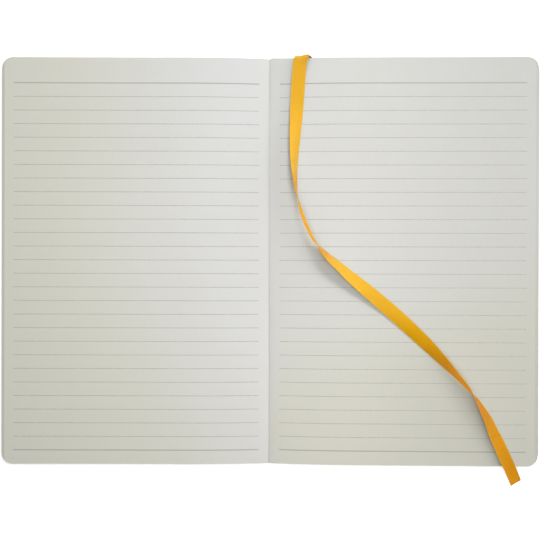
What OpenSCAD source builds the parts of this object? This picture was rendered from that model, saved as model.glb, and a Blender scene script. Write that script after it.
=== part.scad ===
// Softcover notebook, lying open at its middle on its own covers, with ruled pages and
// a satin ribbon bookmark. Every length is in millimetres.
// +X runs to the right-hand page, +Y to the head of the book and +Z up. The origin lies
// under the middle of the gutter, on the surface that the covers rest on.

/* [Pages] */
// Width of a leaf, from the gutter to its fore-edge
page_w = 137.6; // [90:0.2:220]
// Height of a leaf, from tail to head
page_h = 209.5; // [140:0.5:300]
// Radius of the rounded outer corners of the leaves
page_corner_r = 5.5; // [2:0.5:12]
// Thickness of the leaves on each side of the opening
stack_t = 4.6; // [3:0.1:9]
// Width of the slope that falls to the gutter on each page
slope_w = 44; // [25:1:60]
// How far the open pages curl up at the fore-edge
edge_lift = 1.1; // [0:0.1:2]
// How far the lowest leaf reaches out past the open page
fore_slant = 2.2; // [0.4:0.1:4]

/* [Cover] */
// Thickness of the soft cover
cover_t = 0.7; // [0.4:0.1:1.5]
// Radius of the rounded outer corners of the cover
cover_corner_r = 6; // [2:0.5:12]
// How far the cover stops short of the lowest leaf's fore-edge
cover_setback = 0.5; // [0:0.1:2]
// Half the width of the fold that the spine makes under the gutter
spine_fold_w = 1.9; // [1.2:0.1:3]
// How high that fold stands over the table
spine_fold_h = 0.9; // [0.4:0.1:1.2]
// Thickness of the endpapers
endpaper_t = 0.15; // [0.1:0.05:0.3]

/* [Ruling] */
// Distance between two printed lines
line_pitch = 7; // [5:0.5:12]
// Distance from the head of the page to the first line
head_margin = 13.2; // [5:0.2:20]
// Least distance from the last line to the tail of the page
tail_margin = 7; // [4:0.2:20]
// Distance from the gutter to a line's inner end
gutter_margin = 5.4; // [2:0.2:12]
// Distance from a line's outer end to the fore-edge
fore_margin = 6; // [2:0.2:12]
// Width of a printed line
line_w = 0.25; // [0.15:0.05:0.6]
// Width of the first and the last line, which are printed heavier
heavy_line_w = 0.45; // [0.15:0.05:0.8]
// Thickness of the print, drawn thick enough to be a solid
ink_t = 0.05; // [0.02:0.01:0.1]

/* [Ribbon] */
// Width of the ribbon bookmark
ribbon_w = 7; // [3:0.5:12]
// Thickness of the ribbon
ribbon_t = 0.25; // [0.15:0.05:0.5]

/* [Movement] */
// Gap between the two halves along the fold of the gutter
fold_gap = 0.2; // [0.1:0.05:0.5]
// Gap that is left between the two pages when the book is shut
shut_gap = 0.4; // [0.2:0.1:1]

/* [Hidden] */
$fn = 48;

paper_colour = [0.90, 0.89, 0.86];
endpaper_colour = [0.84, 0.83, 0.78];
cover_colour = [0.13, 0.13, 0.14];
ink_colour = [0.62, 0.61, 0.55];
ribbon_colour = [0.98, 0.73, 0.26];

// Each half starts beside the fold and the sheets of the cover are stacked up from the table
half_start = fold_gap / 2;
fold_angle = atan2(spine_fold_h, spine_fold_w - half_start);
leaves_z = cover_t + endpaper_t;
fore_x = page_w;
low_fore_x = fore_x + fore_slant;
cover_x = low_fore_x - cover_setback;
page_top_z = leaves_z + stack_t;
gutter_z = fold_z(leaves_z);
hinge_z = page_top_z + edge_lift + shut_gap / 2;

// Where a sheet at this height over the table meets the foot and the top of the spine's fold
function foot_x(height) = spine_fold_w + height * tan(fold_angle / 2);
function fold_z(height) = spine_fold_h + height / cos(fold_angle);

// The open page's surface: a wide slope and a short steep one beside the gutter, then a
// slow rise to the fore-edge
steep_share = 0.2;
steep_w_share = 0.036;
lift_power = 1.5;
function slope_share(x) =
    (1 - steep_share) * pow(max(0, 1 - x / slope_w), 2)
    + steep_share * exp(-x / (slope_w * steep_w_share));
function page_z(x) =
    page_top_z - (page_top_z - gutter_z) * slope_share(x) / slope_share(half_start)
    + edge_lift * pow(max(0, x - half_start) / (fore_x - half_start), lift_power);

// Stations across a leaf, as shares of its straight part, close together near the gutter,
// and then as angles round its corner
slope_steps = 14;
flat_steps = 9;
corner_steps = 6;
slope_end_share = slope_w / (fore_x - page_corner_r);
station_shares = concat(
    [for (i = [0:slope_steps]) slope_end_share * pow(i / slope_steps, 2)],
    [for (i = [1:flat_steps]) slope_end_share + (1 - slope_end_share) * i / flat_steps]
);
corner_angles = [for (i = [1:corner_steps]) 90 * i / corner_steps];

function leaf_xs(start, end) = concat(
    [for (s = station_shares) start + s * (end - page_corner_r - start)],
    [for (a = corner_angles) end - page_corner_r * (1 - sin(a))]
);
half_lengths = concat(
    [for (s = station_shares) page_h / 2],
    [for (a = corner_angles) page_h / 2 - page_corner_r * (1 - cos(a))]
);
top_xs = leaf_xs(half_start, fore_x);
low_xs = leaf_xs(foot_x(leaves_z), low_fore_x);
page_profile = [for (x = top_xs) [x, page_z(x)]];

// As many lines as fit between the margins at the head and the tail
line_count = 1 + floor((page_h - head_margin - tail_margin) / line_pitch);

// The ribbon's route, from the head of the spine, up behind the head edge, over it and down
// the right-hand page, and the way that its face looks at each point
ribbon_route = [
    [0.8, 105, 1.3], [12, 105, 1.6], [17, 105.1, 1.9], [18.9, 105.1, 3.1],
    [18.4, 105.2, 4.5], [17.6, 105.3, 5.7], [17, 105.2, 6.7], [16.6, 104.6, 7.4],
    [16.1, 103.5, 7.7], [15.6, 102, 7.6], [15.2, 98.3, 6.9], [14.3, 83.7, 6],
    [13.7, 73.5, 6.2], [13.2, 65.3, 6.8], [12.7, 50.7, 7.9], [13.5, 38.2, 9.2],
    [14.6, 32, 9.7], [16.2, 25.9, 10.1], [18.4, 19.7, 10.5], [21.1, 13.8, 10.4],
    [23.5, 9.6, 10.2], [26.9, 5.4, 9.9], [31, 1.3, 9.4], [35.7, -2.6, 8.9],
    [40.4, -6.8, 8.3], [50.2, -14.9, 7.1], [64.4, -27, 6.7], [77.2, -39, 7.6],
    [83.3, -45, 8.5], [89.1, -51.1, 9.5], [94.6, -57, 10], [100.1, -63.1, 10.2],
    [103.3, -67.4, 10.2], [106.2, -71.2, 9.9], [108.6, -75.3, 9.6], [111.9, -81.3, 9.2],
    [114.6, -87.5, 8.7], [117.7, -93.7, 8.3], [123.2, -105.8, 8.3], [125.9, -112.5, 8.8]
];
ribbon_face_shares = [
    [0, 1, 0], [0, 1, 0], [0, 1, 0], [0, 1, 0],
    [0, 1, 0], [-0.05, 1, 0.05], [-0.22, 0.95, 0.27], [-0.18, 0.53, 0.81],
    [-0.12, 0.12, 0.98], [-0.08, -0.12, 0.99], [0.01, -0.02, 1], [0.2, -0.03, 0.98],
    [0.41, 0.01, 0.91], [0.58, 0.05, 0.81], [0.84, 0.07, 0.54], [0.96, 0.11, 0.24],
    [0.98, 0.19, 0.03], [0.95, 0.29, -0.13], [0.9, 0.4, -0.16], [0.86, 0.49, -0.13],
    [0.81, 0.59, -0.04], [0.72, 0.61, 0.34], [0.62, 0.57, 0.54], [0.55, 0.52, 0.66],
    [0.46, 0.43, 0.78], [0.25, 0.2, 0.95], [-0.05, -0.04, 1], [-0.32, -0.24, 0.92],
    [-0.49, -0.37, 0.79], [-0.61, -0.5, 0.61], [-0.69, -0.6, 0.4], [-0.75, -0.62, 0.21],
    [-0.8, -0.6, -0.06], [-0.77, -0.5, -0.4], [-0.73, -0.41, -0.54], [-0.61, -0.27, -0.75],
    [-0.5, -0.17, -0.85], [-0.36, -0.14, -0.92], [-0.34, -0.17, -0.92], [-0.39, -0.22, -0.89]
];
// The ribbon is gathered narrow where it leaves the spine and opens to its full width at the head
ribbon_open_shares = [0.24, 0.3, 0.34, 0.38, 0.56, 0.88];
ribbon_steps = 2;

function unit(v) = v / norm(v);
function last(list) = len(list) - 1;
function at_end(list, i) = list[min(max(i, 0), last(list))];

// A smooth curve through the points of a list, with this many steps to each stretch
function curve_point(list, i, t) =
    let (
        a = at_end(list, i - 1),
        b = list[i],
        c = at_end(list, i + 1),
        d = at_end(list, i + 2)
    )
    (2 * b + (c - a) * t + (2 * a - 5 * b + 4 * c - d) * t * t
        + (3 * b - a - 3 * c + d) * t * t * t) / 2;
function smooth_curve(list, steps) = concat(
    [for (i = [0:last(list) - 1]) for (s = [0:steps - 1]) curve_point(list, i, s / steps)],
    [list[last(list)]]
);

// Prisms along the Y axis, from a section drawn in X and Z
module along_page(section) {
    translate([0, page_h / 2, 0])
        rotate([90, 0, 0])
            linear_extrude(height = page_h)
                polygon(section);
}

// The plan of a cover or an endpaper: square at the fold and rounded at the outer corners
module rounded_plan(end_x, radius) {
    square_x = end_x - radius;
    union() {
        translate([0, -page_h / 2])
            square([square_x, page_h]);
        translate([0, radius - page_h / 2])
            square([end_x, page_h - 2 * radius]);
        for (side = [-1, 1])
            translate([square_x, side * (page_h / 2 - radius)])
                circle(r = radius);
    }
}

// A sheet between two heights over the table, flat under the page and folded up at the spine
module folded_sheet(low, high, radius) {
    intersection() {
        along_page([
            [half_start, fold_z(low)],
            [foot_x(low), low],
            [cover_x, low],
            [cover_x, high],
            [foot_x(high), high],
            [half_start, fold_z(high)]
        ]);
        linear_extrude(height = page_top_z)
            rounded_plan(cover_x, radius);
    }
}

// One half of the leaves: four corners at each station across the leaf
module leaf_block() {
    rings = len(top_xs);
    points = [
        for (i = [0:rings - 1])
            each [
                [top_xs[i], -half_lengths[i], page_z(top_xs[i])],
                [top_xs[i], half_lengths[i], page_z(top_xs[i])],
                [low_xs[i], half_lengths[i], leaves_z],
                [low_xs[i], -half_lengths[i], leaves_z]
            ]
    ];
    polyhedron(points = points, faces = band_faces(rings));
}

// Faces of a bar with four corners to each ring, closed at both ends. Opposite sides are split
// along the same diagonal, so that a thin bar keeps its thickness where it twists
function side_faces(a, b, forward) =
    forward ? [[a, b, b + 4], [a, b + 4, a + 4]] : [[a, b, a + 4], [b, b + 4, a + 4]];
function band_faces(rings) = concat(
    [[3, 2, 1, 0]],
    [
        for (i = [0:rings - 2])
            for (k = [0:3])
                each side_faces(4 * i + k, 4 * i + (k + 1) % 4, k % 3 == 0)
    ],
    [[for (k = [0:3]) 4 * (rings - 1) + k]]
);

// Printed lines, each following the page from margin to margin
module page_ruling() {
    inner_x = gutter_margin;
    outer_x = fore_x - fore_margin;
    xs = concat([inner_x], [for (x = top_xs) if (x > inner_x && x < outer_x) x], [outer_x]);
    surface = [for (x = xs) [x, lookup(x, page_profile)]];
    section = concat(surface, [for (i = [last(surface):-1:0]) surface[i] + [0, ink_t]]);
    for (i = [0:line_count - 1]) {
        width = i == 0 || i == line_count - 1 ? heavy_line_w : line_w;
        line_y = page_h / 2 - head_margin - i * line_pitch;
        translate([0, line_y + width / 2, 0])
            rotate([90, 0, 0])
                linear_extrude(height = width)
                    polygon(section);
    }
}

// The ribbon: a thin flat band swept along its route, turned so that its face looks as told
module ribbon_band() {
    line = smooth_curve(ribbon_route, ribbon_steps);
    faces = smooth_curve(ribbon_face_shares, ribbon_steps);
    shares = smooth_curve(
        [for (i = [0:last(ribbon_route)]) i > last(ribbon_open_shares) ? 1 : ribbon_open_shares[i]],
        ribbon_steps
    );
    points = [
        for (i = [0:last(line)])
            let (
                tangent = unit(at_end(line, i + 1) - at_end(line, i - 1)),
                across = unit(cross(faces[i], tangent)) * ribbon_w * min(1, shares[i]) / 2,
                out = unit(cross(tangent, across)) * ribbon_t / 2
            )
            each [
                line[i] + across + out,
                line[i] + across - out,
                line[i] - across - out,
                line[i] - across + out
            ]
    ];
    polyhedron(points = points, faces = band_faces(len(line)));
}

module left_side() {
    mirror([1, 0, 0])
        children();
}

module front_cover() {
    color(cover_colour)
        left_side()
            folded_sheet(0, cover_t, cover_corner_r);
}

module back_cover() {
    color(cover_colour)
        folded_sheet(0, cover_t, cover_corner_r);
}

module front_endpaper() {
    color(endpaper_colour)
        left_side()
            folded_sheet(cover_t, leaves_z, cover_corner_r);
}

module back_endpaper() {
    color(endpaper_colour)
        folded_sheet(cover_t, leaves_z, cover_corner_r);
}

module left_pages() {
    color(paper_colour)
        left_side()
            leaf_block();
}

module right_pages() {
    color(paper_colour)
        leaf_block();
}

module left_ruling() {
    color(ink_colour)
        left_side()
            page_ruling();
}

module right_ruling() {
    color(ink_colour)
        page_ruling();
}

module ribbon() {
    color(ribbon_colour)
        ribbon_band();
}

front_cover();
back_cover();
front_endpaper();
back_endpaper();
left_pages();
right_pages();
left_ruling();
right_ruling();
ribbon();
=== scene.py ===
"""A softcover notebook that lies open at its middle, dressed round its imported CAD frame."""

import logging
import math
import random
from collections.abc import Callable
from dataclasses import dataclass, field
from enum import Enum

import bmesh
import bpy
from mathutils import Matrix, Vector, noise


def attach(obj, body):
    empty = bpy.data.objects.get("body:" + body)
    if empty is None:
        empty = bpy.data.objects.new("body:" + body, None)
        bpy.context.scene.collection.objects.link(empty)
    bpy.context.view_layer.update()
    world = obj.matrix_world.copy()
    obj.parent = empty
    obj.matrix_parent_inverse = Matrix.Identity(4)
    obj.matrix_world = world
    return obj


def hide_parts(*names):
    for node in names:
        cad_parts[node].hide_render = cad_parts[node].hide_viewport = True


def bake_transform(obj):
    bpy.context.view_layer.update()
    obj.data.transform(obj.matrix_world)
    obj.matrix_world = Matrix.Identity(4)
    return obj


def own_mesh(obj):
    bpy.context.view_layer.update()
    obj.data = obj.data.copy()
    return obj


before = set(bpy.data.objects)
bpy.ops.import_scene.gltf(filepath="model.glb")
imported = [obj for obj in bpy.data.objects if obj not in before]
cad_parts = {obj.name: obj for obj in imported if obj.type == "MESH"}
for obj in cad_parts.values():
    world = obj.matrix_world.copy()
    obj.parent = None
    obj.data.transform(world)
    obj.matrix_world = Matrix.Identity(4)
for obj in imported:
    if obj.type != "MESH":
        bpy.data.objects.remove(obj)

log = logging.getLogger("notebook")

MM = 0.001
Socket = bpy.types.NodeSocket
Colour = tuple[float, float, float]
Point = tuple[float, float, float]


class Side(Enum):
    """A half of the open book, with the way that it lies from the gutter."""

    LEFT = -1
    RIGHT = 1

    @property
    def body(self) -> str:
        """The CAD body that this half moves with."""
        return "left_half" if self is Side.LEFT else "right_half"

    @property
    def word(self) -> str:
        """The half's name, as it stands in the names of its pieces."""
        return self.name.lower()


# ---- Sizes shared by the pieces ----


@dataclass(frozen=True)
class BookShape:
    """The open book's section and plan, in metres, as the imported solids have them."""

    page_w: float = 137.6 * MM
    page_h: float = 209.5 * MM
    page_corner_r: float = 5.5 * MM
    stack_t: float = 4.6 * MM
    slope_w: float = 44 * MM
    edge_lift: float = 1.1 * MM
    fore_slant: float = 2.2 * MM
    cover_t: float = 0.7 * MM
    cover_corner_r: float = 6 * MM
    cover_setback: float = 0.5 * MM
    fold_w: float = 2.0 * MM
    fold_h: float = 0.85 * MM
    endpaper_t: float = 0.15 * MM
    gutter_z: float = 1.85 * MM
    foot_x: float = 2.1 * MM
    hinge_z: float = 6.75 * MM

    @property
    def leaves_z(self) -> float:
        """Height of the lowest leaf over the table."""
        return self.cover_t + self.endpaper_t

    @property
    def cover_x(self) -> float:
        """Reach of the cover from the gutter."""
        return self.page_w + self.fore_slant - self.cover_setback

    def page_z(self, x: float) -> float:
        """Height of the open page, without its waves.

        Args:
            x: Distance from the gutter.

        Returns:
            The height over the table.
        """
        wide = max(0.0, 1 - x / self.slope_w) ** 2
        slope = 0.8 * wide + 0.2 * math.exp(-x / (0.036 * self.slope_w))
        top_z = self.leaves_z + self.stack_t
        lift = self.edge_lift * max(0.0, x / self.page_w) ** 1.5
        return top_z - (top_z - self.gutter_z) * slope + lift

    def wave(self, side: Side, x: float, y: float) -> float:
        """Height of the gentle waves that handling leaves in the paper.

        Args:
            side: The half that the leaf is in.
            x: Distance from the gutter.
            y: Place along the gutter.

        Returns:
            The height to add, which dies out towards the gutter.
        """
        fade = min(1.0, x / (0.5 * self.page_w)) ** 1.5
        place = Vector((14 * x, 11 * y, 3.7 * side.value))
        return 0.34 * MM * fade * noise.noise(place)

    def leaf_point(self, side: Side, x: float, y: float, rank: float) -> Vector:
        """Where a point of a flat leaf lies in the open book.

        Args:
            side: The half that the leaf is in.
            x: Distance from the leaf's spine edge, on the flat leaf.
            y: Place along the spine edge.
            rank: Place of the leaf in its stack, from 0 for the lowest to 1 for the open page.

        Returns:
            The point in the row frame.
        """
        share = x / self.page_w
        low_x = self.foot_x + share * (self.page_w + self.fore_slant - self.foot_x)
        z = self.leaves_z + rank * (self.page_z(x) - self.leaves_z)
        z += rank * rank * self.wave(side, x, y)
        return Vector((side.value * (low_x + rank * (x - low_x)), y, z))

    def fold_z(self, x: float, low: float) -> float:
        """Height of a sheet of the cover, which the spine lifts in a soft ridge.

        Args:
            x: Distance from the gutter.
            low: The sheet's height over the table where it lies flat.

        Returns:
            The height over the table.
        """
        reach = self.fold_w + 0.3 * low
        if abs(x) >= reach:
            return low
        ridge = 0.5 * (1 + math.cos(math.pi * x / reach))
        return low + ridge * self.fold_h


SHAPE = BookShape()


# ---- Meshes and pieces ----


def to_object(work: bmesh.types.BMesh, name: str, smooth: bool = True) -> bpy.types.Object:
    """Put a finished bmesh into the scene as an object at the origin.

    Args:
        work: The mesh to place, which is freed.
        name: Name of the piece.
        smooth: Whether its faces are shaded smooth up to 40 degrees.

    Returns:
        The new object.
    """
    mesh = bpy.data.meshes.new(name)
    work.to_mesh(mesh)
    work.free()
    piece = bpy.data.objects.new(name, mesh)
    bpy.context.scene.collection.objects.link(piece)
    if smooth:
        mesh.shade_smooth()
        mesh.set_sharp_from_angle(angle=math.radians(40))
    return piece


def all_geometry(work: bmesh.types.BMesh) -> list:
    """Every vertex, edge and face of a bmesh, as the operators want them."""
    return [*work.verts, *work.edges, *work.faces]


def score(work: bmesh.types.BMesh, places: list[float], axis: int) -> None:
    """Cut straight lines across a blank, where it will bend.

    Args:
        work: The blank.
        places: Where the lines are along the axis.
        axis: 0 for lines at places in X, 1 for lines at places in Y.
    """
    normal = Vector((1, 0, 0)) if axis == 0 else Vector((0, 1, 0))
    for place in places:
        bmesh.ops.bisect_plane(
            work, geom=all_geometry(work), dist=1e-7, plane_co=normal * place, plane_no=normal
        )


def cut_blank(x0: float, x1: float, height: float, radius: float) -> bmesh.types.BMesh:
    """Cut a flat rectangle of sheet and round its corners away from the gutter.

    Args:
        x0: Its lower end in X.
        x1: Its upper end in X.
        height: Its size in Y.
        radius: Radius of the corners that don't lie at x = 0.

    Returns:
        The flat blank, one face thick.
    """
    work = bmesh.new()
    bmesh.ops.create_grid(work, x_segments=1, y_segments=1, size=0.5)
    bmesh.ops.scale(work, vec=(x1 - x0, height, 1), verts=work.verts)
    bmesh.ops.translate(work, vec=((x0 + x1) / 2, 0, 0), verts=work.verts)
    corners = [v for v in work.verts if abs(v.co.x) > radius]
    bmesh.ops.bevel(
        work, geom=corners, offset=radius, segments=8, profile=0.5, affect="VERTICES", material=-1
    )
    return work


def thicken(work: bmesh.types.BMesh, depth: float) -> None:
    """Give a flat blank its thickness, upwards from where it lies.

    Args:
        work: The blank.
        depth: Its thickness.
    """
    made = bmesh.ops.extrude_face_region(work, geom=work.faces[:])
    raised = [part for part in made["geom"] if isinstance(part, bmesh.types.BMVert)]
    bmesh.ops.translate(work, vec=(0, 0, depth), verts=raised)
    bmesh.ops.recalc_face_normals(work, faces=work.faces)


def spaced(start: float, end: float, count: int, power: float = 1.0) -> list[float]:
    """Places between two ends, closer together at the start where the power is over 1.

    Args:
        start: First end, left out.
        end: Last end, left out.
        count: How many places.
        power: How strongly the places gather at the start.

    Returns:
        The places in order.
    """
    return [start + (end - start) * ((i + 1) / (count + 1)) ** power for i in range(count)]


# ---- Nodes ----


class Graph:
    """A node tree, with short ways to add nodes and join them."""

    def __init__(self, tree: bpy.types.NodeTree) -> None:
        """Take the tree to work on.

        Args:
            tree: A material's, a world's or a group's tree.
        """
        self.tree = tree

    def add(self, kind: str, values: dict | None = None, **settings: object) -> bpy.types.Node:
        """Add a node.

        Args:
            kind: The node's type, without the word ShaderNode.
            values: What goes into its inputs, by name or number: a constant or a socket.
            **settings: Properties of the node.

        Returns:
            The new node.
        """
        node = self.tree.nodes.new(f"ShaderNode{kind}")
        for name, setting in settings.items():
            setattr(node, name, setting)
        for name, value in (values or {}).items():
            if isinstance(value, Socket):
                self.tree.links.new(value, node.inputs[name])
            else:
                node.inputs[name].default_value = value
        return node

    def math(self, operation: str, *values: object, clamp: bool = False) -> Socket:
        """Add a Math node.

        Args:
            operation: Its operation.
            *values: Its inputs in order.
            clamp: Whether the result is kept between 0 and 1.

        Returns:
            Its output.
        """
        node = self.add("Math", dict(enumerate(values)), operation=operation, use_clamp=clamp)
        return node.outputs[0]

    def ramp(self, value: Socket, start: float, end: float, low: float, high: float) -> Socket:
        """Map a value smoothly from one range to another, and hold it there.

        Args:
            value: What is mapped.
            start: Value that gives low.
            end: Value that gives high.
            low: Result at the start.
            high: Result at the end.

        Returns:
            The mapped value.
        """
        node = self.add(
            "MapRange",
            {"Value": value, "From Min": start, "From Max": end, "To Min": low, "To Max": high},
            interpolation_type="SMOOTHSTEP",
        )
        return node.outputs[0]

    def mix(self, share: Socket | float, first: object, second: object, way: str = "MIX") -> Socket:
        """Mix two colours.

        Args:
            share: Share of the second.
            first: A colour or a socket.
            second: A colour or a socket.
            way: How the two are mixed.

        Returns:
            The mixed colour.
        """
        node = self.add("Mix", data_type="RGBA", blend_type=way)
        for slot, value in ((0, share), (6, first), (7, second)):
            if isinstance(value, Socket):
                self.tree.links.new(value, node.inputs[slot])
            else:
                node.inputs[slot].default_value = (*value, 1) if slot else value
        return node.outputs[2]

    def noise(self, where: Socket, scale: float, detail: float = 2, rough: float = 0.5) -> Socket:
        """Add a noise texture.

        Args:
            where: Coordinates in metres.
            scale: Patches to the metre.
            detail: Its octaves.
            rough: Strength of the finer octaves.

        Returns:
            The noise, about 0.5 on average.
        """
        values = {"Vector": where, "Scale": scale, "Detail": detail, "Roughness": rough}
        return self.add("TexNoise", values).outputs[0]

    def group(self, tree: bpy.types.NodeTree, values: dict) -> bpy.types.Node:
        """Place a node group.

        Args:
            tree: The group.
            values: What goes into its inputs.

        Returns:
            The group's node.
        """
        node = self.tree.nodes.new("ShaderNodeGroup")
        node.node_tree = tree
        for name, value in values.items():
            if isinstance(value, Socket):
                self.tree.links.new(value, node.inputs[name])
            else:
                node.inputs[name].default_value = value
        return node


def new_group(
    name: str,
    inputs: dict[str, float | None],
    outputs: list[str],
    fill: Callable[[Graph, dict[str, Socket]], dict[str, Socket]],
) -> bpy.types.NodeTree:
    """Build a shader node group.

    Args:
        name: The group's name.
        inputs: Its inputs and their defaults; None makes a vector.
        outputs: Its outputs, which are values.
        fill: Makes the nodes inside, from the inputs' sockets, and gives the outputs' sockets.

    Returns:
        The group.
    """
    tree = bpy.data.node_groups.new(name, "ShaderNodeTree")
    for label, default in inputs.items():
        kind = "NodeSocketVector" if default is None else "NodeSocketFloat"
        socket = tree.interface.new_socket(label, in_out="INPUT", socket_type=kind)
        if default is not None:
            socket.default_value = default
    for label in outputs:
        tree.interface.new_socket(label, in_out="OUTPUT", socket_type="NodeSocketFloat")
    graph = Graph(tree)
    entry = tree.nodes.new("NodeGroupInput")
    leave = tree.nodes.new("NodeGroupOutput")
    results = fill(graph, {label: entry.outputs[label] for label in inputs})
    for label, socket in results.items():
        tree.links.new(socket, leave.inputs[label])
    return tree


def fill_fibre(graph: Graph, given: dict[str, Socket]) -> dict[str, Socket]:
    """Nodes of the paper's fibres: a fine felt, a cloudy formation and a few darker flecks.

    Args:
        graph: The group's tree.
        given: The group's inputs.

    Returns:
        The sockets of Shade, Cloud and Height.
    """
    place = graph.add(
        "VectorMath", {0: given["Vector"], "Scale": given["Fineness"]}, operation="SCALE"
    ).outputs[0]
    felt = graph.noise(place, 2600, 3, 0.6)
    warp = graph.add("VectorMath", {0: place, 1: (1.0, 0.32, 1.0)}, operation="MULTIPLY").outputs[0]
    strands = graph.noise(warp, 1500, 4, 0.7)
    cloud = graph.noise(place, 120, 4, 0.55)
    fleck = graph.ramp(graph.noise(place, 900, 1), 0.76, 0.86, 0.0, 1.0)
    both = graph.math("MULTIPLY_ADD", felt, 0.5, graph.math("MULTIPLY", strands, 0.5))
    shade = graph.math("SUBTRACT", both, graph.math("MULTIPLY", fleck, 0.25))
    return {"Shade": shade, "Cloud": cloud, "Height": both}


def fill_mottle(graph: Graph, given: dict[str, Socket]) -> dict[str, Socket]:
    """Nodes of a hand-worn surface: broad mottling and small scuffs.

    Args:
        graph: The group's tree.
        given: The group's inputs.

    Returns:
        The sockets of Mottle and Scuff.
    """
    broad = graph.noise(given["Vector"], 38, 3, 0.5)
    fine = graph.noise(given["Vector"], 420, 4, 0.65)
    raw = graph.math("ADD", graph.math("MULTIPLY", broad, 0.6), graph.math("MULTIPLY", fine, 0.4))
    scuff = graph.ramp(raw, 0.56, 0.66, 0.0, 1.0)
    return {"Mottle": broad, "Scuff": graph.math("MULTIPLY", scuff, given["Amount"])}


@dataclass
class SharedEffects:
    """The node groups that several materials use, built once."""

    fibre: bpy.types.NodeTree = field(init=False)
    wear_and_shade: bpy.types.NodeTree = field(init=False)

    def __post_init__(self) -> None:
        """Build the groups."""
        self.fibre = new_group(
            "paper_fibre",
            {"Vector": None, "Fineness": 1.0},
            ["Shade", "Cloud", "Height"],
            fill_fibre,
        )
        self.wear_and_shade = new_group(
            "hand_wear", {"Vector": None, "Amount": 1.0}, ["Mottle", "Scuff"], fill_mottle
        )


# ---- Finishes ----


def new_material(name: str) -> tuple[bpy.types.Material, Graph, bpy.types.Node, Socket]:
    """Start a material with one Principled shader.

    Args:
        name: The material's name.

    Returns:
        The material, its graph, its shader and its Object coordinates.
    """
    material = bpy.data.materials.new(name)
    material.use_nodes = True
    graph = Graph(material.node_tree)
    shader = material.node_tree.nodes["Principled BSDF"]
    where = graph.add("TexCoord").outputs["Object"]
    return material, graph, shader, where


@dataclass(frozen=True)
class PaperFinish:
    """Smooth uncoated writing paper, warmer and a little darker towards the tail and the left
    fore-edge, with painted shade in the gutter, at the fore-edges and across the right page.
    """

    effects: SharedEffects
    seam_w: float = 0.7 * MM
    rim_w: float = 1.8 * MM
    white: Colour = (0.802, 0.794, 0.790)
    warm: Colour = (0.788, 0.773, 0.690)
    shadow: Colour = (0.56, 0.54, 0.48)
    seam_and_rim_shade: Colour = (0.36, 0.35, 0.27)

    def warm_share(self, graph: Graph, across: Socket, along: Socket) -> Socket:
        """How much of the warmer, slightly darker tone the page takes, most at the tail and towards
        the left fore-edge.

        Args:
            graph: The material's graph.
            across: Place across the open book.
            along: Place along the gutter.

        Returns:
            The share of the warm tone.
        """
        tail = graph.math("MAXIMUM", graph.math("MULTIPLY", along, -1.0), 0.0)
        reach = graph.math("SUBTRACT", graph.math("MULTIPLY", tail, 0.4), across)
        left = graph.ramp(reach, 0.02, 0.115, 0.0, 1.0)
        reach = graph.math("SUBTRACT", graph.math("MULTIPLY", across, 0.35), along)
        right = graph.ramp(reach, 0.025, 0.09, 0.25, 1.0)
        turned = graph.ramp(across, -0.002, 0.005, 0.0, 1.0)
        return graph.math("MULTIPLY_ADD", turned, graph.math("SUBTRACT", right, left), left)

    def wear_and_shade(self, graph: Graph, across: Socket) -> Socket:
        """Painted shade: a dark line along the fold of the gutter and a darker rim at the fore-edges,
        deeper on the left.

        Args:
            graph: The material's graph.
            across: Place across the open book.

        Returns:
            The share of the painted shade's colour.
        """
        reach = graph.math("ABSOLUTE", across)
        # Painted shade: a dark line in the gutter's fold, and a darker rim at the fore-edges, deeper
        # on the left page than on the right.
        seam = graph.ramp(reach, self.seam_w, 0.0001, 0.0, 0.2)
        start = SHAPE.page_w - self.rim_w
        rim = graph.ramp(reach, start, start + self.rim_w / 2, 0.0, 1.0)
        rim = graph.math("MULTIPLY", rim, graph.ramp(across, -0.01, 0.01, 0.28, 0.12))
        return graph.math("ADD", seam, rim)

    def material(self) -> bpy.types.Material:
        """Make the finish.

        Returns:
            The material.
        """
        material, graph, shader, where = new_material("page_paper")
        place = graph.add("SeparateXYZ", {0: where})
        across, along = place.outputs[0], place.outputs[1]
        deeper_share = self.warm_share(graph, across, along)
        fibre = graph.group(self.effects.fibre, {"Vector": where})
        cloud = graph.ramp(fibre.outputs["Cloud"], 0.3, 0.7, -0.06, 0.06)
        tone = graph.mix(graph.math("ADD", deeper_share, cloud, clamp=True), self.white, self.warm)
        leaf = graph.add("Attribute", attribute_name="leaf_tone").outputs["Fac"]
        grain = graph.ramp(fibre.outputs["Shade"], 0.3, 0.7, 0.09, 0.0)
        dark = graph.math("ADD", grain, graph.math("MULTIPLY", leaf, 0.55), clamp=True)
        colour = graph.mix(dark, tone, self.shadow)
        # Painted shade along the gutter's fold and at the fore-edges.
        colour = graph.mix(self.wear_and_shade(graph, across), colour, self.seam_and_rim_shade)
        # Painted shade: the right page is a little greyer towards its fore-edge.
        colour = graph.mix(graph.ramp(across, 0.005, 0.13, 0.0, 0.1), colour, (0, 0, 0))
        bump = graph.add(
            "Bump", {"Strength": 0.22, "Distance": 0.00004, "Height": fibre.outputs["Height"]}
        )
        rough = graph.ramp(fibre.outputs["Cloud"], 0.3, 0.7, 0.78, 0.86)
        graph.tree.links.new(colour, shader.inputs["Base Color"])
        graph.tree.links.new(rough, shader.inputs["Roughness"])
        graph.tree.links.new(bump.outputs[0], shader.inputs["Normal"])
        shader.inputs["Specular IOR Level"].default_value = 0.22
        return material


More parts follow.
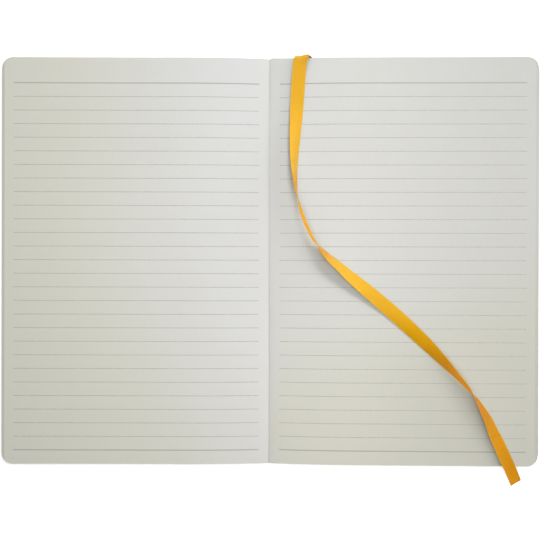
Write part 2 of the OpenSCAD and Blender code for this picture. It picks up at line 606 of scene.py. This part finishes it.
@dataclass(frozen=True)
class PrintFinish:
    """Pale grey print that lies unevenly on the fibres."""

    effects: SharedEffects
    ink: Colour = (0.47, 0.47, 0.41)
    thin: Colour = (0.66, 0.65, 0.59)

    def material(self) -> bpy.types.Material:
        """Make the finish.

        Returns:
            The material.
        """
        material, graph, shader, where = new_material("line_print")
        fibre = graph.group(self.effects.fibre, {"Vector": where, "Fineness": 1.0})
        heavy = graph.add("Attribute", attribute_name="heavy").outputs["Fac"]
        broken = graph.ramp(fibre.outputs["Shade"], 0.38, 0.6, 0.0, 0.8)
        cloud = graph.ramp(fibre.outputs["Cloud"], 0.3, 0.7, -0.15, 0.15)
        cover = graph.math("ADD", broken, cloud, clamp=True)
        share = graph.math("MULTIPLY", cover, graph.math("SUBTRACT", 1.0, heavy))
        colour = graph.mix(share, self.ink, self.thin)
        graph.tree.links.new(colour, shader.inputs["Base Color"])
        bump = graph.add(
            "Bump", {"Strength": 0.2, "Distance": 0.00003, "Height": fibre.outputs["Height"]}
        )
        graph.tree.links.new(bump.outputs[0], shader.inputs["Normal"])
        shader.inputs["Roughness"].default_value = 0.72
        shader.inputs["Specular IOR Level"].default_value = 0.25
        return material


@dataclass(frozen=True)
class EndpaperFinish:
    """Heavier, creamier paper that is pasted inside the cover."""

    effects: SharedEffects
    cream: Colour = (0.66, 0.63, 0.54)
    deep: Colour = (0.55, 0.51, 0.42)

    def material(self) -> bpy.types.Material:
        """Make the finish.

        Returns:
            The material.
        """
        material, graph, shader, where = new_material("endpaper")
        fibre = graph.group(self.effects.fibre, {"Vector": where, "Fineness": 0.6})
        shade = graph.ramp(fibre.outputs["Shade"], 0.3, 0.7, 0.5, 0.0)
        cloud = graph.ramp(fibre.outputs["Cloud"], 0.3, 0.7, 0.3, 0.0)
        colour = graph.mix(graph.math("ADD", shade, cloud, clamp=True), self.cream, self.deep)
        bump = graph.add(
            "Bump", {"Strength": 0.35, "Distance": 0.00006, "Height": fibre.outputs["Height"]}
        )
        graph.tree.links.new(colour, shader.inputs["Base Color"])
        graph.tree.links.new(bump.outputs[0], shader.inputs["Normal"])
        shader.inputs["Roughness"].default_value = 0.85
        shader.inputs["Specular IOR Level"].default_value = 0.2
        return material


@dataclass(frozen=True)
class CoverFinish:
    """Charcoal leather-like cover stock with a fine pebbled grain, paler where hands rub it."""

    effects: SharedEffects
    base: Colour = (0.019, 0.0195, 0.021)
    valley: Colour = (0.008, 0.008, 0.009)
    rubbed: Colour = (0.075, 0.072, 0.069)

    def material(self) -> bpy.types.Material:
        """Make the finish.

        Returns:
            The material.
        """
        material, graph, shader, where = new_material("cover_leather")
        wobble = graph.noise(where, 900, 2)
        stir = graph.add("TexNoise", {"Vector": where, "Scale": 700}).outputs["Color"]
        moved = graph.add("VectorMath", {0: stir, "Scale": 0.0006}, operation="SCALE").outputs[0]
        place = graph.add("VectorMath", {0: where, 1: moved}, operation="ADD").outputs[0]
        cells = graph.add(
            "TexVoronoi", {"Vector": place, "Scale": 1150}, feature="SMOOTH_F1"
        ).outputs["Distance"]
        pebble = graph.ramp(cells, 0.1, 0.62, 1.0, 0.0)
        height = graph.math("ADD", pebble, graph.math("MULTIPLY", wobble, 0.35))
        wear_and_shade = graph.group(self.effects.wear_and_shade, {"Vector": where, "Amount": 0.5})
        spread = graph.add("SeparateXYZ", {0: where})
        reach = graph.math("ABSOLUTE", spread.outputs[0])
        rim = graph.ramp(reach, SHAPE.cover_x - 0.0035, SHAPE.cover_x, 0.0, 0.55)
        tall = graph.math("ABSOLUTE", spread.outputs[1])
        ends = graph.ramp(tall, SHAPE.page_h / 2 - 0.003, SHAPE.page_h / 2, 0.0, 0.55)
        ridge = graph.ramp(reach, SHAPE.fold_w, 0.0, 0.0, 0.35)
        edges = graph.math("MAXIMUM", graph.math("MAXIMUM", rim, ends), ridge)
        torn = graph.math("MULTIPLY", edges, graph.ramp(wobble, 0.35, 0.65, 0.3, 1.0))
        rub = graph.math("ADD", torn, wear_and_shade.outputs["Scuff"], clamp=True)
        skin = graph.mix(pebble, self.valley, self.base)
        raised = graph.math("MULTIPLY", rub, pebble)
        colour = graph.mix(raised, skin, self.rubbed)
        mottle = graph.ramp(wear_and_shade.outputs["Mottle"], 0.3, 0.7, 0.46, 0.58)
        rough = graph.math("SUBTRACT", mottle, graph.math("MULTIPLY", rub, 0.1))
        bump = graph.add("Bump", {"Strength": 0.55, "Distance": 0.00012, "Height": height})
        graph.tree.links.new(colour, shader.inputs["Base Color"])
        graph.tree.links.new(rough, shader.inputs["Roughness"])
        graph.tree.links.new(bump.outputs[0], shader.inputs["Normal"])
        shader.inputs["Specular IOR Level"].default_value = 0.42
        return material


@dataclass(frozen=True)
class SatinFinish:
    """Golden satin: glossy along its floats, with fine ribs and bound edges.

    Places on it are in millimetres, along it from the glued end and across it from one edge.
    """

    effects: SharedEffects
    gold: Colour = (1.0, 0.50, 0.04)
    gold_deep: Colour = (0.95, 0.42, 0.025)
    shade_amber: Colour = (1.0, 0.465, 0.007)
    shade_amber_deep: Colour = (0.87, 0.37, 0.003)
    reverse: Colour = (0.84, 0.34, 0.007)
    reverse_deep: Colour = (0.72, 0.28, 0.002)
    selvedge_highlight: Colour = (1.0, 0.56, 0.07)
    pale: Colour = (0.18, 0.175, 0.13)
    glue: Colour = (0.55, 0.53, 0.47)
    through: Colour = (0.94, 0.7, 0.13)
    crease_shade_and_dark_tip: Colour = (0.6, 0.25, 0.0)
    half_w: float = 3.5
    rib_pitch: float = 0.42
    float_pitch: float = 0.3
    glued: tuple[float, float] = (10, 14)
    shade_amber_span: tuple[float, float] = (158, 192)
    crease_at: float = 259.2
    tip: tuple[float, float] = (262, 283)
    upper_stand: tuple[float, float, float, float] = (82, 96, 122, 134)
    lower_stand: tuple[float, float, float, float] = (200, 222, 240, 254)

    def depth(self, graph: Graph, chart: Socket, ribs: Socket) -> Socket:
        """How deep the dye looks, from streaks along the ribbon, its ribs and its threads.

        Args:
            graph: The material's graph.
            chart: The ribbon's chart.
            ribs: The wave of the ribs.

        Returns:
            The share of the deep tone.
        """
        stretch = graph.add("VectorMath", {0: chart, 1: (2.6, 0.16, 1.0)}, operation="MULTIPLY")
        streaks = graph.noise(stretch.outputs[0], 1.6, 4, 0.6)
        stretch = graph.add("VectorMath", {0: chart, 1: (0.3, 1.5, 1.0)}, operation="MULTIPLY")
        threads = graph.noise(stretch.outputs[0], 1.3, 3, 0.6)
        weave = graph.math("MULTIPLY_ADD", ribs, 0.06, 0.06)
        dark = graph.math("ADD", graph.ramp(streaks, 0.3, 0.72, 0.22, 0.0), weave)
        return graph.math("ADD", dark, graph.ramp(threads, 0.3, 0.7, 0.42, 0.0), clamp=True)

    def dye(self, graph: Graph, dark: Socket, along: Socket, bound: Socket) -> Socket:
        """Colour the two sides, the bound edges with a painted highlight, the glued end, and a deeper
        amber towards the tail that is painted shade.

        Args:
            graph: The material's graph.
            dark: The share of the deep tone.
            along: Place along the ribbon.
            bound: Where the edges are bound.

        Returns:
            The colour.
        """
        head_gold = graph.mix(dark, self.gold, self.gold_deep)
        tail_shade_amber = graph.mix(dark, self.shade_amber, self.shade_amber_deep)
        # Painted shade: from the middle on, the ribbon is coloured a deeper, more saturated amber.
        colour = graph.mix(graph.ramp(along, *self.shade_amber_span, 0.0, 1.0), head_gold, tail_shade_amber)
        side = graph.add("Attribute", attribute_name="reverse_side").outputs["Fac"]
        colour = graph.mix(side, colour, graph.mix(dark, self.reverse, self.reverse_deep))
        # Painted highlight: the bound edges are coloured lighter.
        colour = graph.mix(graph.math("MULTIPLY", bound, 0.5), colour, self.selvedge_highlight)
        return graph.mix(graph.ramp(along, *self.glued, 1.0, 0.0), colour, self.glue)

    def deeper_share(self, graph: Graph, across: Socket, along: Socket) -> Socket:
        """Where the ribbon is darker: painted shade above the crease near its tail, and a darker tip.

        Args:
            graph: The material's graph.
            across: Place across the ribbon.
            along: Place along the ribbon.

        Returns:
            The share of the crease's painted shade and the tip's darker tone.
        """
        past = graph.math("SUBTRACT", along, self.crease_at)
        past = graph.math("MULTIPLY_ADD", across, 0.35, past)
        fold = graph.math(
            "MULTIPLY", graph.ramp(past, -2.2, -0.2, 0.0, 0.45), graph.ramp(past, -0.2, 0.1, 1.0, 0.0)
        )
        fold = graph.math("MULTIPLY", fold, graph.ramp(across, 6.5, 1.5, 0.3, 1.0))
        return graph.math("MAXIMUM", fold, graph.ramp(along, *self.tip, 0.0, 0.9))

    def stands(self, graph: Graph, along: Socket) -> Socket:
        """Where the ribbon stands on its edge, so that its lit side glows through.

        Args:
            graph: The material's graph.
            along: Place along the ribbon.

        Returns:
            The share of light that comes through.
        """
        shares = []
        for stretch, most in ((self.upper_stand, 0.75), (self.lower_stand, 0.4)):
            rise = graph.ramp(along, *stretch[:2], 0.0, most)
            shares.append(graph.math("MULTIPLY", rise, graph.ramp(along, *stretch[2:], 1.0, 0.0)))
        return graph.math("ADD", *shares)

    def material(self) -> bpy.types.Material:
        """Make the finish.

        Returns:
            The material.
        """
        material, graph, shader, where = new_material("ribbon_satin")
        chart = graph.add("UVMap", uv_map="ribbon_chart").outputs[0]
        place = graph.add("SeparateXYZ", {0: chart})
        across, along = place.outputs[0], place.outputs[1]
        ribs = graph.math("SINE", graph.math("MULTIPLY", along, math.tau / self.rib_pitch))
        floats = graph.math("SINE", graph.math("MULTIPLY", across, math.tau / self.float_pitch))
        edge = graph.math("ABSOLUTE", graph.math("SUBTRACT", across, self.half_w))
        bound = graph.ramp(edge, 3.05, 3.3, 0.0, 1.0)
        colour = self.dye(graph, self.depth(graph, chart, ribs), along, bound)
        # Painted shade above the crease near the tail, and a darker tip.
        colour = graph.mix(self.deeper_share(graph, across, along), colour, self.crease_shade_and_dark_tip)
        # Light that bounces off the ribbon stays pale, so that it doesn't stain the page.
        bounced = graph.add("LightPath").outputs["Is Diffuse Ray"]
        inside = graph.add("NewGeometry").outputs["Backfacing"]
        bounced = graph.math("SUBTRACT", bounced, inside, clamp=True)
        colour = graph.mix(bounced, colour, self.pale)
        wear_and_shade = graph.group(self.effects.wear_and_shade, {"Vector": where, "Amount": 1.0})
        rough = graph.ramp(wear_and_shade.outputs["Mottle"], 0.3, 0.7, 0.34, 0.44)
        relief = graph.math("ADD", ribs, graph.math("MULTIPLY", floats, 0.35))
        relief = graph.math("ADD", relief, graph.math("MULTIPLY", bound, 1.6))
        bump = graph.add("Bump", {"Strength": 0.18, "Distance": 0.00005, "Height": relief})
        graph.tree.links.new(colour, shader.inputs["Base Color"])
        graph.tree.links.new(rough, shader.inputs["Roughness"])
        graph.tree.links.new(bump.outputs[0], shader.inputs["Normal"])
        shader.inputs["Specular IOR Level"].default_value = 0.65
        shader.inputs["Specular Tint"].default_value = (1.0, 0.5, 0.06, 1)
        shader.inputs["Subsurface Weight"].default_value = 0.5
        shader.inputs["Subsurface Radius"].default_value = (1.0, 0.55, 0.12)
        shader.inputs["Subsurface Scale"].default_value = 0.001
        glow = graph.mix(bounced, self.through, self.pale)
        lit = graph.add("BsdfTranslucent", {"Color": glow, "Normal": bump.outputs[0]})
        share = self.stands(graph, along)
        cloth = graph.add("MixShader", {0: share, 1: shader.outputs[0], 2: lit.outputs[0]})
        end = graph.tree.nodes["Material Output"]
        graph.tree.links.new(cloth.outputs[0], end.inputs["Surface"])
        return material


# ---- The leaves and their print ----


@dataclass
class LeafStack:
    """The leaves of one half, each a bent sheet of its own, with the open page on top."""

    side: Side
    leaf_count: int = 46
    leaf_t: float = 0.085 * MM
    section_leaves: int = 8
    seed: int = 5

    def blank(self, bends: list[float], rows: list[float]) -> bpy.types.Mesh:
        """Cut a flat leaf, and score it where it bends.

        Args:
            bends: Where the lines across it are, from the gutter.
            rows: Where the lines along it are.

        Returns:
            The leaf's mesh, which every leaf of that kind is copied from.
        """
        work = cut_blank(0, SHAPE.page_w, SHAPE.page_h, SHAPE.page_corner_r)
        score(work, bends, 0)
        score(work, rows, 1)
        thicken(work, self.leaf_t)
        mesh = bpy.data.meshes.new("leaf_blank")
        work.to_mesh(mesh)
        work.free()
        return mesh

    def build(self) -> bpy.types.Object:
        """Lay the leaves on each other.

        Returns:
            The stack, closed under the open page.
        """
        dice = random.Random(self.seed + self.side.value)
        near = spaced(0, SHAPE.slope_w, 15, 1.9)
        far = spaced(SHAPE.slope_w, SHAPE.page_w - SHAPE.page_corner_r, 9)
        plain = self.blank([*near, SHAPE.slope_w, *far], [-0.07, -0.035, 0.0, 0.035, 0.07])
        near = spaced(0, SHAPE.slope_w, 34, 1.7)
        far = spaced(SHAPE.slope_w, SHAPE.page_w - SHAPE.page_corner_r, 22)
        rows = spaced(-SHAPE.page_h / 2, SHAPE.page_h / 2, 27)
        fine = self.blank([*near, SHAPE.slope_w, *far], rows)
        stack = bmesh.new()
        tone = stack.verts.layers.float.new("leaf_tone")
        for index in range(self.leaf_count):
            open_page = index == self.leaf_count - 1
            rank = index / (self.leaf_count - 1)
            start = len(stack.verts)
            stack.from_mesh(fine if open_page else plain)
            stack.verts.ensure_lookup_table()
            step = index % self.section_leaves / self.section_leaves
            out = 0.0 if open_page else dice.uniform(-0.1, 0.06) * MM - 0.1 * MM * step
            slip = 0.0 if open_page else dice.uniform(-0.05, 0.05) * MM
            shade = 0.0 if open_page else dice.uniform(0.0, 0.3) + 0.45 * (step == 0)
            for vert in stack.verts[start:]:
                x, y, z = vert.co
                place = SHAPE.leaf_point(self.side, x, y + slip, rank)
                place.x += self.side.value * out * x / SHAPE.page_w
                place.z += z - self.leaf_t if index else z
                vert.co = place
                vert[tone] = shade
        bpy.data.meshes.remove(plain)
        bpy.data.meshes.remove(fine)
        bmesh.ops.recalc_face_normals(stack, faces=stack.faces)
        return to_object(stack, f"{self.side.word}_leaves")

    def dress(self, piece: bpy.types.Object, finish: bpy.types.Material) -> None:
        """Give the stack its paper and its place in the frame.

        Args:
            piece: The built stack.
            finish: The paper.
        """
        piece.data.materials.append(finish)
        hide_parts(f"{self.side.word}_pages")
        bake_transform(piece)


@dataclass
class PageRuling:
    """The printed lines of one page, laid on its waves."""

    side: Side
    line_count: int = 28
    pitch: float = 7 * MM
    head_margin: float = 13.2 * MM
    gutter_margin: float = 5.4 * MM
    fore_margin: float = 6 * MM
    line_w: float = 0.34 * MM
    heavy_w: float = 0.5 * MM
    ink_t: float = 0.02 * MM

    def build(self) -> bpy.types.Object:
        """Print the lines.

        Returns:
            All lines of the page as one piece.
        """
        start, end = self.gutter_margin, SHAPE.page_w - self.fore_margin
        strip = bmesh.new()
        bmesh.ops.create_cube(strip, size=1)
        bmesh.ops.scale(strip, vec=(end - start, self.line_w, self.ink_t), verts=strip.verts)
        bmesh.ops.translate(strip, vec=((start + end) / 2, 0, 0), verts=strip.verts)
        score(strip, spaced(start, SHAPE.slope_w, 20, 1.4), 0)
        score(strip, spaced(SHAPE.slope_w, end, 18), 0)
        mesh = bpy.data.meshes.new("line_blank")
        strip.to_mesh(mesh)
        strip.free()
        ruling = bmesh.new()
        weight = ruling.verts.layers.float.new("heavy")
        for index in range(self.line_count):
            heavy = index in (0, self.line_count - 1)
            first = len(ruling.verts)
            ruling.from_mesh(mesh)
            ruling.verts.ensure_lookup_table()
            line_y = SHAPE.page_h / 2 - self.head_margin - index * self.pitch
            widen = self.heavy_w / self.line_w if heavy else 1.0
            for vert in ruling.verts[first:]:
                x, y, z = vert.co
                place = SHAPE.leaf_point(self.side, x, line_y, 1.0)
                vert.co = place + Vector((0, y * widen, z + 0.004 * MM))
                vert[weight] = 1.0 if heavy else 0.0
        bpy.data.meshes.remove(mesh)
        bmesh.ops.recalc_face_normals(ruling, faces=ruling.faces)
        return to_object(ruling, f"{self.side.word}_lines")

    def dress(self, piece: bpy.types.Object, finish: bpy.types.Material) -> None:
        """Give the lines their print and their place in the frame.

        Args:
            piece: The built lines.
            finish: The print.
        """
        piece.data.materials.append(finish)
        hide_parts(f"{self.side.word}_ruling")
        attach(piece, self.side.body)


# ---- Cover and endpapers ----


@dataclass
class SoftCover:
    """The cover: one sheet that runs from fore-edge to fore-edge under the spine."""

    rounding: float = 0.22 * MM

    def build(self) -> bpy.types.Object:
        """Cut, thicken, round and fold the sheet.

        Returns:
            The cover.
        """
        reach = SHAPE.cover_x
        work = cut_blank(-reach, reach, SHAPE.page_h, SHAPE.cover_corner_r)
        thicken(work, SHAPE.cover_t)
        rim = [edge for edge in work.edges if edge.calc_face_angle(0) > math.radians(60)]
        rim = [edge for edge in rim if abs(edge.verts[0].co.z - edge.verts[1].co.z) < 1e-6]
        bmesh.ops.bevel(
            work,
            geom=rim,
            offset=self.rounding,
            segments=3,
            profile=0.5,
            affect="EDGES",
            material=-1,
        )
        near = [i * 0.25 * MM for i in range(1, 15)]
        far = spaced(5 * MM, reach - SHAPE.cover_corner_r, 12)
        score(work, [0.0, *near, *far, *(-x for x in near), *(-x for x in far)], 0)
        score(work, spaced(-SHAPE.page_h / 2, SHAPE.page_h / 2, 9), 1)
        for vert in work.verts:
            lift = SHAPE.fold_z(vert.co.x, 0.0)
            vert.co.z += lift
        bmesh.ops.recalc_face_normals(work, faces=work.faces)
        return to_object(work, "soft_cover")

    def dress(self, piece: bpy.types.Object, finish: bpy.types.Material) -> None:
        """Give the cover its leather and its place in the frame.

        Args:
            piece: The built cover.
            finish: The cover's finish.
        """
        piece.data.materials.append(finish)
        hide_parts("front_cover", "back_cover")
        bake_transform(piece)


@dataclass
class Endpaper:
    """The endpaper that is pasted inside one half of the cover."""

    side: Side
    gap: float = 0.1 * MM

    def build(self) -> bpy.types.Object:
        """Cut and fold the sheet.

        Returns:
            The endpaper.
        """
        reach = SHAPE.cover_x - 0.1 * MM
        work = cut_blank(0, reach, SHAPE.page_h - 0.2 * MM, SHAPE.cover_corner_r)
        score(work, [i * 0.3 * MM for i in range(1, 10)], 0)
        score(work, spaced(4 * MM, reach - SHAPE.cover_corner_r, 8), 0)
        thicken(work, SHAPE.endpaper_t)
        for vert in work.verts:
            vert.co.x = max(vert.co.x, self.gap)
            vert.co.z += SHAPE.fold_z(vert.co.x, SHAPE.cover_t) + 0.002 * MM
            vert.co.x *= self.side.value
        bmesh.ops.recalc_face_normals(work, faces=work.faces)
        word = "front" if self.side is Side.LEFT else "back"
        return to_object(work, f"{word}_endpaper_sheet")

    def dress(self, piece: bpy.types.Object, finish: bpy.types.Material) -> None:
        """Give the sheet its paper and its place in the frame.

        Args:
            piece: The built sheet.
            finish: The endpaper's finish.
        """
        piece.data.materials.append(finish)
        word = "front" if self.side is Side.LEFT else "back"
        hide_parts(f"{word}_endpaper")
        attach(piece, self.side.body)


# ---- Ribbon ----

# The ribbon's centre line, in millimetres, from its glued end at the spine to its cut end; the way
# that its face looks at each point; and its open share of the width at the first points.
ROUTE: tuple[Point, ...] = (
    (0.8, 105, 1.3), (12, 105, 1.6), (17, 105.1, 1.9), (18.9, 105.1, 3.1),
    (18.4, 105.2, 4.5), (17.6, 105.3, 5.7), (17, 105.2, 6.7), (16.6, 104.6, 7.4),
    (16.1, 103.5, 7.7), (15.6, 102, 7.6), (15.2, 98.3, 6.9), (14.3, 83.7, 6),
    (13.7, 73.5, 6.2), (13.2, 65.3, 6.8), (12.7, 50.7, 7.9), (13.5, 38.2, 9.2),
    (14.6, 32, 9.7), (16.2, 25.9, 10.1), (18.4, 19.7, 10.5), (21.1, 13.8, 10.4),
    (23.5, 9.6, 10.2), (26.9, 5.4, 9.9), (31, 1.3, 9.4), (35.7, -2.6, 8.9),
    (40.4, -6.8, 8.3), (50.2, -14.9, 7.1), (64.4, -27, 6.7), (77.2, -39, 7.6),
    (83.3, -45, 8.5), (89.1, -51.1, 9.5), (94.6, -57, 10), (100.1, -63.1, 10.2),
    (103.3, -67.4, 10.2), (106.2, -71.2, 9.9), (108.6, -75.3, 9.6), (111.9, -81.3, 9.2),
    (114.6, -87.5, 8.7), (117.7, -93.7, 8.3), (123.2, -105.8, 8.3), (125.9, -112.5, 8.8),
)
FACES: tuple[Point, ...] = (
    (0, 1, 0), (0, 1, 0), (0, 1, 0), (0, 1, 0),
    (0, 1, 0), (-0.05, 1, 0.05), (-0.22, 0.95, 0.27), (-0.18, 0.53, 0.81),
    (-0.12, 0.12, 0.98), (-0.08, -0.12, 0.99), (0.01, -0.02, 1), (0.2, -0.03, 0.98),
    (0.41, 0.01, 0.91), (0.58, 0.05, 0.81), (0.84, 0.07, 0.54), (0.96, 0.11, 0.24),
    (0.98, 0.19, 0.03), (0.95, 0.29, -0.13), (0.9, 0.4, -0.16), (0.86, 0.49, -0.13),
    (0.81, 0.59, -0.04), (0.72, 0.61, 0.34), (0.62, 0.57, 0.54), (0.55, 0.52, 0.66),
    (0.46, 0.43, 0.78), (0.25, 0.2, 0.95), (-0.05, -0.04, 1), (-0.32, -0.24, 0.92),
    (-0.49, -0.37, 0.79), (-0.61, -0.5, 0.61), (-0.69, -0.6, 0.4), (-0.75, -0.62, 0.21),
    (-0.8, -0.6, -0.06), (-0.77, -0.5, -0.4), (-0.73, -0.41, -0.54), (-0.61, -0.27, -0.75),
    (-0.5, -0.17, -0.85), (-0.36, -0.14, -0.92), (-0.34, -0.17, -0.92), (-0.39, -0.22, -0.89),
)
OPENINGS: tuple[float, ...] = (0.24, 0.3, 0.34, 0.38, 0.56, 0.88)


def smooth_curve(points: list[Vector], steps: int) -> list[Vector]:
    """A smooth curve through every point of a list.

    Args:
        points: The points.
        steps: Steps to each stretch.

    Returns:
        The points of the curve, the first and the last of the list among them.
    """
    last = len(points) - 1
    curve = []
    for i in range(last):
        a, b = points[max(i - 1, 0)], points[i]
        c, d = points[i + 1], points[min(i + 2, last)]
        for step in range(steps):
            t = step / steps
            bend = (2 * a - 5 * b + 4 * c - d) * t * t + (3 * b - a - 3 * c + d) * t * t * t
            curve.append((2 * b + (c - a) * t + bend) / 2)
    curve.append(points[last])
    return curve


@dataclass
class RibbonMarker:
    """The satin ribbon, which is fixed at the head of the spine and lies over the right page.

    Each of its pulls has a point of the route, an edge and the way that the edge is drawn there.
    """

    width: float = 7 * MM
    thickness: float = 0.22 * MM
    steps: int = 8
    columns: int = 10
    cup: float = 0.02
    pleat: float = 0.04 * MM
    pulls: tuple[tuple[float, int, Point], ...] = (
        (3.5, 1, (1.7 * MM, 0.0, -0.2 * MM)),
        (6.4, -1, (0.1 * MM, -0.4 * MM, 0.0)),
    )

    def rails(self) -> tuple[list[Vector], list[Vector], list[float]]:
        """The ribbon's centre line, the way its face looks and how far it is open.

        Returns:
            Centre points in metres, face directions and shares of the full width.
        """
        line = smooth_curve([Vector(p) * MM for p in ROUTE], self.steps)
        looks = smooth_curve([Vector(f) for f in FACES], self.steps)
        opened = [OPENINGS[i] if i < len(OPENINGS) else 1.0 for i in range(len(ROUTE))]
        shares = smooth_curve([Vector((s, 0, 0)) for s in opened], self.steps)
        return line, looks, [min(1.0, max(0.2, s.x)) for s in shares]

    def build(self) -> tuple[bpy.types.Object, list[Vector]]:
        """Sweep the ribbon along its route.

        Returns:
            The ribbon, and the points of its centre line.
        """
        line, looks, shares = self.rails()
        last = len(line) - 1
        work = bmesh.new()
        chart = work.loops.layers.uv.new("ribbon_chart")
        bmesh.ops.create_grid(work, x_segments=self.columns, y_segments=last, size=0.5)
        runs = [0.0]
        for a, b in zip(line, line[1:]):
            runs.append(runs[-1] + (b - a).length)
        for face in work.faces:
            for loop in face.loops:
                x, y, _ = loop.vert.co
                ring = round((y + 0.5) * last)
                loop[chart].uv = ((x + 0.5) * 7, runs[ring] / MM)
        for vert in work.verts:
            t = 2 * vert.co.x
            ring = round((vert.co.y + 0.5) * last)
            tangent = (line[min(ring + 1, last)] - line[max(ring - 1, 0)]).normalized()
            across = looks[ring].cross(tangent).normalized()
            out = tangent.cross(across).normalized()
            angle = 6 * self.cup
            radius = self.width / 2 / angle
            side = shares[ring] * radius * math.sin(angle * t)
            rise = shares[ring] * radius * (math.cos(angle * t) - 1 + 0.4 * (1 - math.cos(angle)))
            rise += self.pleat * (1 - shares[ring]) * math.cos(3 * math.pi * t)
            vert.co = line[ring] + across * side + out * rise
            for point, edge, move in self.pulls:
                place = ring / self.steps - point
                share = math.exp(-place * place / 1.1) * max(0.0, edge * t) ** 2
                vert.co += Vector(move) * share
        bmesh.ops.recalc_face_normals(work, faces=work.faces)
        back = work.faces.layers.float.new("reverse_side")
        count = len(work.faces)
        bmesh.ops.solidify(work, geom=work.faces[:], thickness=self.thickness)
        work.faces.ensure_lookup_table()
        for face in work.faces[:count]:
            face[back] = 1.0
        return to_object(work, "ribbon_marker"), line

    def dress(
        self, built: tuple[bpy.types.Object, list[Vector]], finish: bpy.types.Material
    ) -> None:
        """Give the ribbon its satin and its place in the frame.

        Args:
            built: The ribbon and its centre line.
            finish: The satin.
        """
        piece, line = built
        piece.data.materials.append(finish)
        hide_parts("ribbon")
        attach(piece, "right_half")
        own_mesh(piece)


# ---- Studio ----


COOL: Colour = (0.9, 0.94, 1.0)
WARM: Colour = (1.0, 0.992, 0.945)


@dataclass(frozen=True)
class Lamp:
    """A soft square lamp, with its place and aim in metres and its power in watts."""

    name: str
    place: Point
    size: float
    power: float
    tint: Colour = WARM
    aim: Point = (0.0, 0.0, 0.0)

    def hang(self) -> None:
        """Put the lamp into the scene."""
        light = bpy.data.lights.new(self.name, "AREA")
        light.shape = "SQUARE"
        light.size = self.size
        light.energy = self.power
        light.color = self.tint
        lamp = bpy.data.objects.new(self.name, light)
        lamp.location = self.place
        way = Vector(self.aim) - Vector(self.place)
        lamp.rotation_euler = way.to_track_quat("-Z", "Y").to_euler()
        bpy.context.scene.collection.objects.link(lamp)


@dataclass
class Studio:
    """The floor, the soft lights and the camera."""

    floor_white: float = 0.8
    backdrop: float = 0.72
    ambient: float = 0.05
    lamps: tuple[Lamp, ...] = (
        Lamp("top_box", (0.028, -0.02, 0.35), 0.2, 0.625, aim=(0.028, -0.02, 0.0)),
        Lamp("key_box", (0.053, 0.602, 0.525), 0.25, 2.5, tint=COOL),
        Lamp("fill_box", (-0.66, 0.24, 0.84), 0.45, 0.56),
        Lamp("side_box", (0.92, 0.34, 0.69), 0.4, 2.75),
        Lamp("low_box", (1.253, 0.584, 0.22), 0.5, 4.1),
    )

    def floor(self) -> None:
        """Lay a pale floor that shows white to the camera but keeps the book's shadow."""
        work = bmesh.new()
        bmesh.ops.create_grid(work, x_segments=1, y_segments=1, size=2)
        piece = to_object(work, "floor", smooth=False)
        piece.location.z = -0.02 * MM
        material, graph, shader, where = new_material("floor_pale")
        grain = graph.ramp(graph.noise(where, 60, 3), 0.3, 0.7, 0.97, 1.0)
        tint = (self.floor_white,) * 3
        colour = graph.mix(grain, (0, 0, 0), tint)
        graph.tree.links.new(colour, shader.inputs["Base Color"])
        shader.inputs["Roughness"].default_value = 0.9
        shader.inputs["Specular IOR Level"].default_value = 0.1
        path = graph.add("LightPath")
        seen = graph.math("MAXIMUM", path.outputs["Is Camera Ray"], path.outputs["Is Glossy Ray"])
        seen = graph.math("MAXIMUM", seen, path.outputs["Is Transmission Ray"])
        reach = graph.add("VectorMath", {0: where}, operation="LENGTH").outputs["Value"]
        white = graph.ramp(reach, 0.25, 0.7, self.backdrop, 1.0)
        glow = graph.add("Emission", {"Strength": graph.math("MULTIPLY", seen, white)})
        both = graph.add("AddShader", {0: shader.outputs[0], 1: glow.outputs[0]})
        end = graph.tree.nodes["Material Output"]
        graph.tree.links.new(both.outputs[0], end.inputs["Surface"])
        piece.data.materials.append(material)

    def world(self) -> None:
        """Set an even, faint light all round, seen as white."""
        world = bpy.data.worlds.new("studio")
        bpy.context.scene.world = world
        world.use_nodes = True
        graph = Graph(world.node_tree)
        path = graph.add("LightPath")
        seen = graph.math("MAXIMUM", path.outputs["Is Camera Ray"], path.outputs["Is Glossy Ray"])
        seen = graph.math("MAXIMUM", seen, path.outputs["Is Transmission Ray"])
        strength = graph.ramp(seen, 0.0, 1.0, self.ambient, 1.0)
        back = world.node_tree.nodes["Background"]
        back.inputs["Color"].default_value = (1, 1, 1, 1)
        graph.tree.links.new(strength, back.inputs["Strength"])

    def camera(self) -> None:
        """Set the camera straight above the book, as the photograph was taken."""
        lens = bpy.data.cameras.new("camera")
        lens.lens = 50
        lens.sensor_width = 36
        lens.clip_start = 0.01
        eye = bpy.data.objects.new("camera", lens)
        eye.location = (0.00455, -0.00334, 0.39122)
        eye.rotation_euler = (math.radians(-0.169), math.radians(0.604), math.radians(0.151))
        bpy.context.scene.collection.objects.link(eye)
        bpy.context.scene.camera = eye
        bpy.context.scene.view_settings.view_transform = "Standard"


def main() -> None:
    """Set the studio, then build and dress the notebook piece by piece."""
    logging.basicConfig(level=logging.INFO, format="%(message)s")
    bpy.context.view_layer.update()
    studio = Studio()
    studio.camera()
    effects = SharedEffects()
    ribbon = RibbonMarker()
    built = ribbon.build()
    ribbon.dress(built, SatinFinish(effects).material())
    log.info("ribbon: %d faces", len(built[0].data.polygons))
    paper = PaperFinish(effects).material()
    ink = PrintFinish(effects).material()
    lining = EndpaperFinish(effects).material()
    for side in Side:
        parts = ((LeafStack(side), paper), (PageRuling(side), ink), (Endpaper(side), lining))
        for part, finish in parts:
            piece = part.build()
            part.dress(piece, finish)
            log.info("%s: %d faces", piece.name, len(piece.data.polygons))
    cover = SoftCover()
    piece = cover.build()
    cover.dress(piece, CoverFinish(effects).material())
    log.info("%s: %d faces", piece.name, len(piece.data.polygons))
    studio.floor()
    studio.world()
    for lamp in studio.lamps:
        lamp.hang()


if __name__ == "__main__":
    main()
